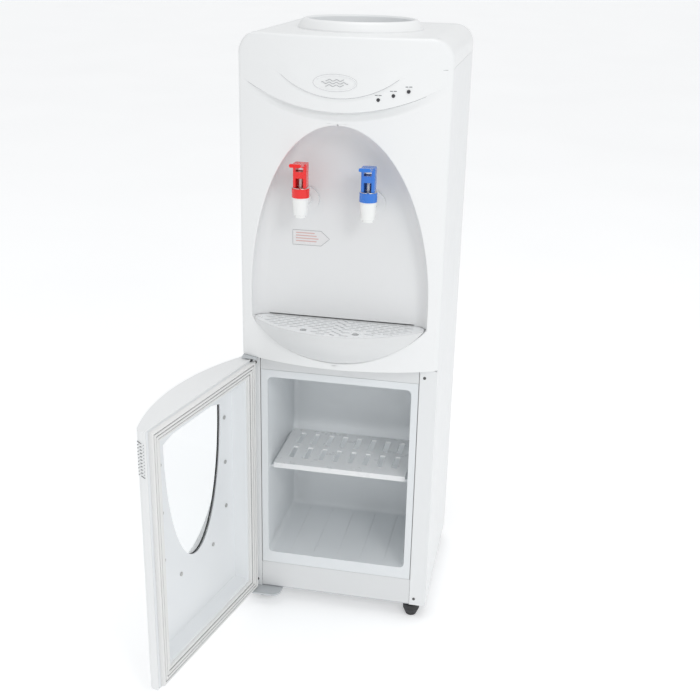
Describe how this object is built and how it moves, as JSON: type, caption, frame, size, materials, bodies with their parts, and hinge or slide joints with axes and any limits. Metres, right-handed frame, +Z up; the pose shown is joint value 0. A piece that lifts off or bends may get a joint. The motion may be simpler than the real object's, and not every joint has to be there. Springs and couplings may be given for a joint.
{
  "type": "floor-standing water dispenser",
  "caption": "Floor-standing bottle-fed water dispenser with bowed front, arched alcove with lever taps, drip tray and a hinged lower cabinet door standing open.",
  "frame": {"origin": "floor level, mid-width, plane of the cabinet's front flange", "axes": "+Z up, the front faces -Y, +X to the right seen from the front"},
  "size_m": [0.3785, 0.6011, 0.9604],
  "materials": {
    "base_plate": "satin",
    "side_paint": "satin",
    "rear_panel": "satin",
    "partition_plate": "satin",
    "cabinet_liner": "satin",
    "foam": "matt",
    "front_panel": "gloss",
    "badge": "gloss",
    "indicator_lights": "gloss",
    "bottle_seat": "satin",
    "guard_spike": "satin",
    "cold_tank": "satin",
    "hose": "satin",
    "compressor": "satin",
    "compressor_grommets": "matt",
    "condenser_tube": "satin",
    "condenser_clips": "matt",
    "switch_housing": "matt",
    "hot_switch": "gloss",
    "cold_switch": "gloss",
    "cord_gland": "matt",
    "drain_spout": "satin",
    "drain_cap": "satin",
    "tap_body": "gloss",
    "hot_tap_colour": "gloss",
    "tap_stem": "gloss",
    "steel_small": "satin",
    "cold_tap_colour": "gloss",
    "drip_grille": "satin",
    "door_liner": "satin",
    "door_gasket": "satin",
    "door_window": "clear",
    "steel_small_screws": "gloss",
    "door_bushes": "satin",
    "hinge_plate": "satin",
    "rubber_feet": "matt"
  },
  "bodies": {
    "cabinet": {"base_plate": "base_plate", "left_side_panel": "side_paint", "right_side_panel": "side_paint", "rear_panel": "rear_panel", "header_rail": "side_paint", "kick_panel": "side_paint", "partition_plate": "partition_plate", "cabinet_liner": "cabinet_liner", "foam_insulation": "foam", "front_panel": "front_panel", "badge": "badge", "indicator_lights": "indicator_lights", "top_cover": "front_panel", "bottle_seat": "bottle_seat", "guard_spike": "guard_spike", "cold_tank": "cold_tank", "cold_tank_jacket": "foam", "hot_tank": "cold_tank", "hot_tank_bracket": "base_plate", "hot_water_tube": "hose", "cold_water_tube": "hose", "compressor": "compressor", "compressor_grommets": "compressor_grommets", "condenser_tube": "condenser_tube", "condenser_wires": "condenser_tube", "condenser_clips": "condenser_clips", "switch_housing": "switch_housing", "cord_gland": "cord_gland", "drain_spout": "drain_spout", "hot_tap_body": "tap_body", "hot_tap_nut": "hot_tap_colour", "hot_tap_spring": "steel_small", "cold_tap_body": "tap_body", "cold_tap_nut": "cold_tap_colour", "cold_tap_spring": "steel_small", "tap_wall_rings": "tap_body", "tap_back_nuts": "drain_spout", "lower_hinge_plate": "hinge_plate", "upper_hinge_plate": "hinge_plate", "hinge_pins": "steel_small", "rubber_feet": "rubber_feet", "flange_screws": "steel_small_screws"},
    "door": {"door_shell": "front_panel", "door_liner": "door_liner", "door_gasket": "door_gasket", "door_window": "door_window", "window_screws": "steel_small_screws", "door_bushes": "door_bushes"},
    "shelf": {"cabinet_shelf": "cabinet_liner"},
    "tray": {"drip_tray": "front_panel"},
    "grille": {"drip_grille": "drip_grille"},
    "hot_stem": {"hot_tap_stem": "tap_stem"},
    "hot_lever": {"hot_tap_lever": "hot_tap_colour"},
    "cold_stem": {"cold_tap_stem": "tap_stem"},
    "cold_lever": {"cold_tap_lever": "cold_tap_colour"},
    "hot_rocker": {"hot_switch": "hot_switch"},
    "cold_rocker": {"cold_switch": "cold_switch"},
    "thermostat": {"thermostat_knob": "drain_cap"},
    "drain_plug": {"drain_cap": "drain_cap"}
  },
  "joints": [
    {"name": "door_hinge", "type": "hinge", "parent": "cabinet", "child": "door", "pos_m": [-0.143, -0.012, 0.238], "axis": [0, 0, -1], "range_deg": [-102.4, 8]},
    {"name": "shelf_slide", "type": "slide", "parent": "cabinet", "child": "shelf", "axis": [0, -1, 0], "range_m": [0, 0.15]},
    {"name": "tray_slide", "type": "slide", "parent": "cabinet", "child": "tray", "axis": [0, -1, 0], "range_m": [0, 0.07]},
    {"name": "grille_lift", "type": "slide", "parent": "tray", "child": "grille", "axis": [0, 0, 1], "range_m": [0, 0.04]},
    {"name": "hot_stem_lift", "type": "slide", "parent": "cabinet", "child": "hot_stem", "axis": [0, 0, 1], "range_m": [0, 0.003], "deforming": ["hot_tap_spring"]},
    {"name": "hot_lever_turn", "type": "hinge", "parent": "hot_stem", "child": "hot_lever", "pos_m": [-0.055, -0.032, 0.752], "axis": [1, 0, 0], "range_deg": [0, 22], "stiffness_Nm_per_rad": 0.3, "springref_deg": -8.59},
    {"name": "cold_stem_lift", "type": "slide", "parent": "cabinet", "child": "cold_stem", "axis": [0, 0, 1], "range_m": [0, 0.003], "deforming": ["cold_tap_spring"]},
    {"name": "cold_lever_turn", "type": "hinge", "parent": "cold_stem", "child": "cold_lever", "pos_m": [0.045, -0.032, 0.752], "axis": [1, 0, 0], "range_deg": [0, 22], "stiffness_Nm_per_rad": 0.3, "springref_deg": -8.59},
    {"name": "hot_rocker_turn", "type": "hinge", "parent": "cabinet", "child": "hot_rocker", "pos_m": [-0.091, 0.2798, 0.802], "axis": [1, 0, 0], "range_deg": [-10, 10]},
    {"name": "cold_rocker_turn", "type": "hinge", "parent": "cabinet", "child": "cold_rocker", "pos_m": [-0.0635, 0.2798, 0.802], "axis": [1, 0, 0], "range_deg": [-10, 10]},
    {"name": "thermostat_turn", "type": "hinge", "parent": "cabinet", "child": "thermostat", "pos_m": [0.09, 0.29, 0.59], "axis": [0, 1, 0], "range_deg": [-140, 140]},
    {"name": "drain_cap_pull", "type": "slide", "parent": "cabinet", "child": "drain_plug", "axis": [0, 1, 0], "range_m": [0, 0.02]}
  ],
  "couplings": [
    {"joint": "hot_stem_lift", "follows": "hot_lever_turn", "m_per_rad": 0.0078},
    {"joint": "cold_stem_lift", "follows": "cold_lever_turn", "m_per_rad": 0.0078}
  ]
}
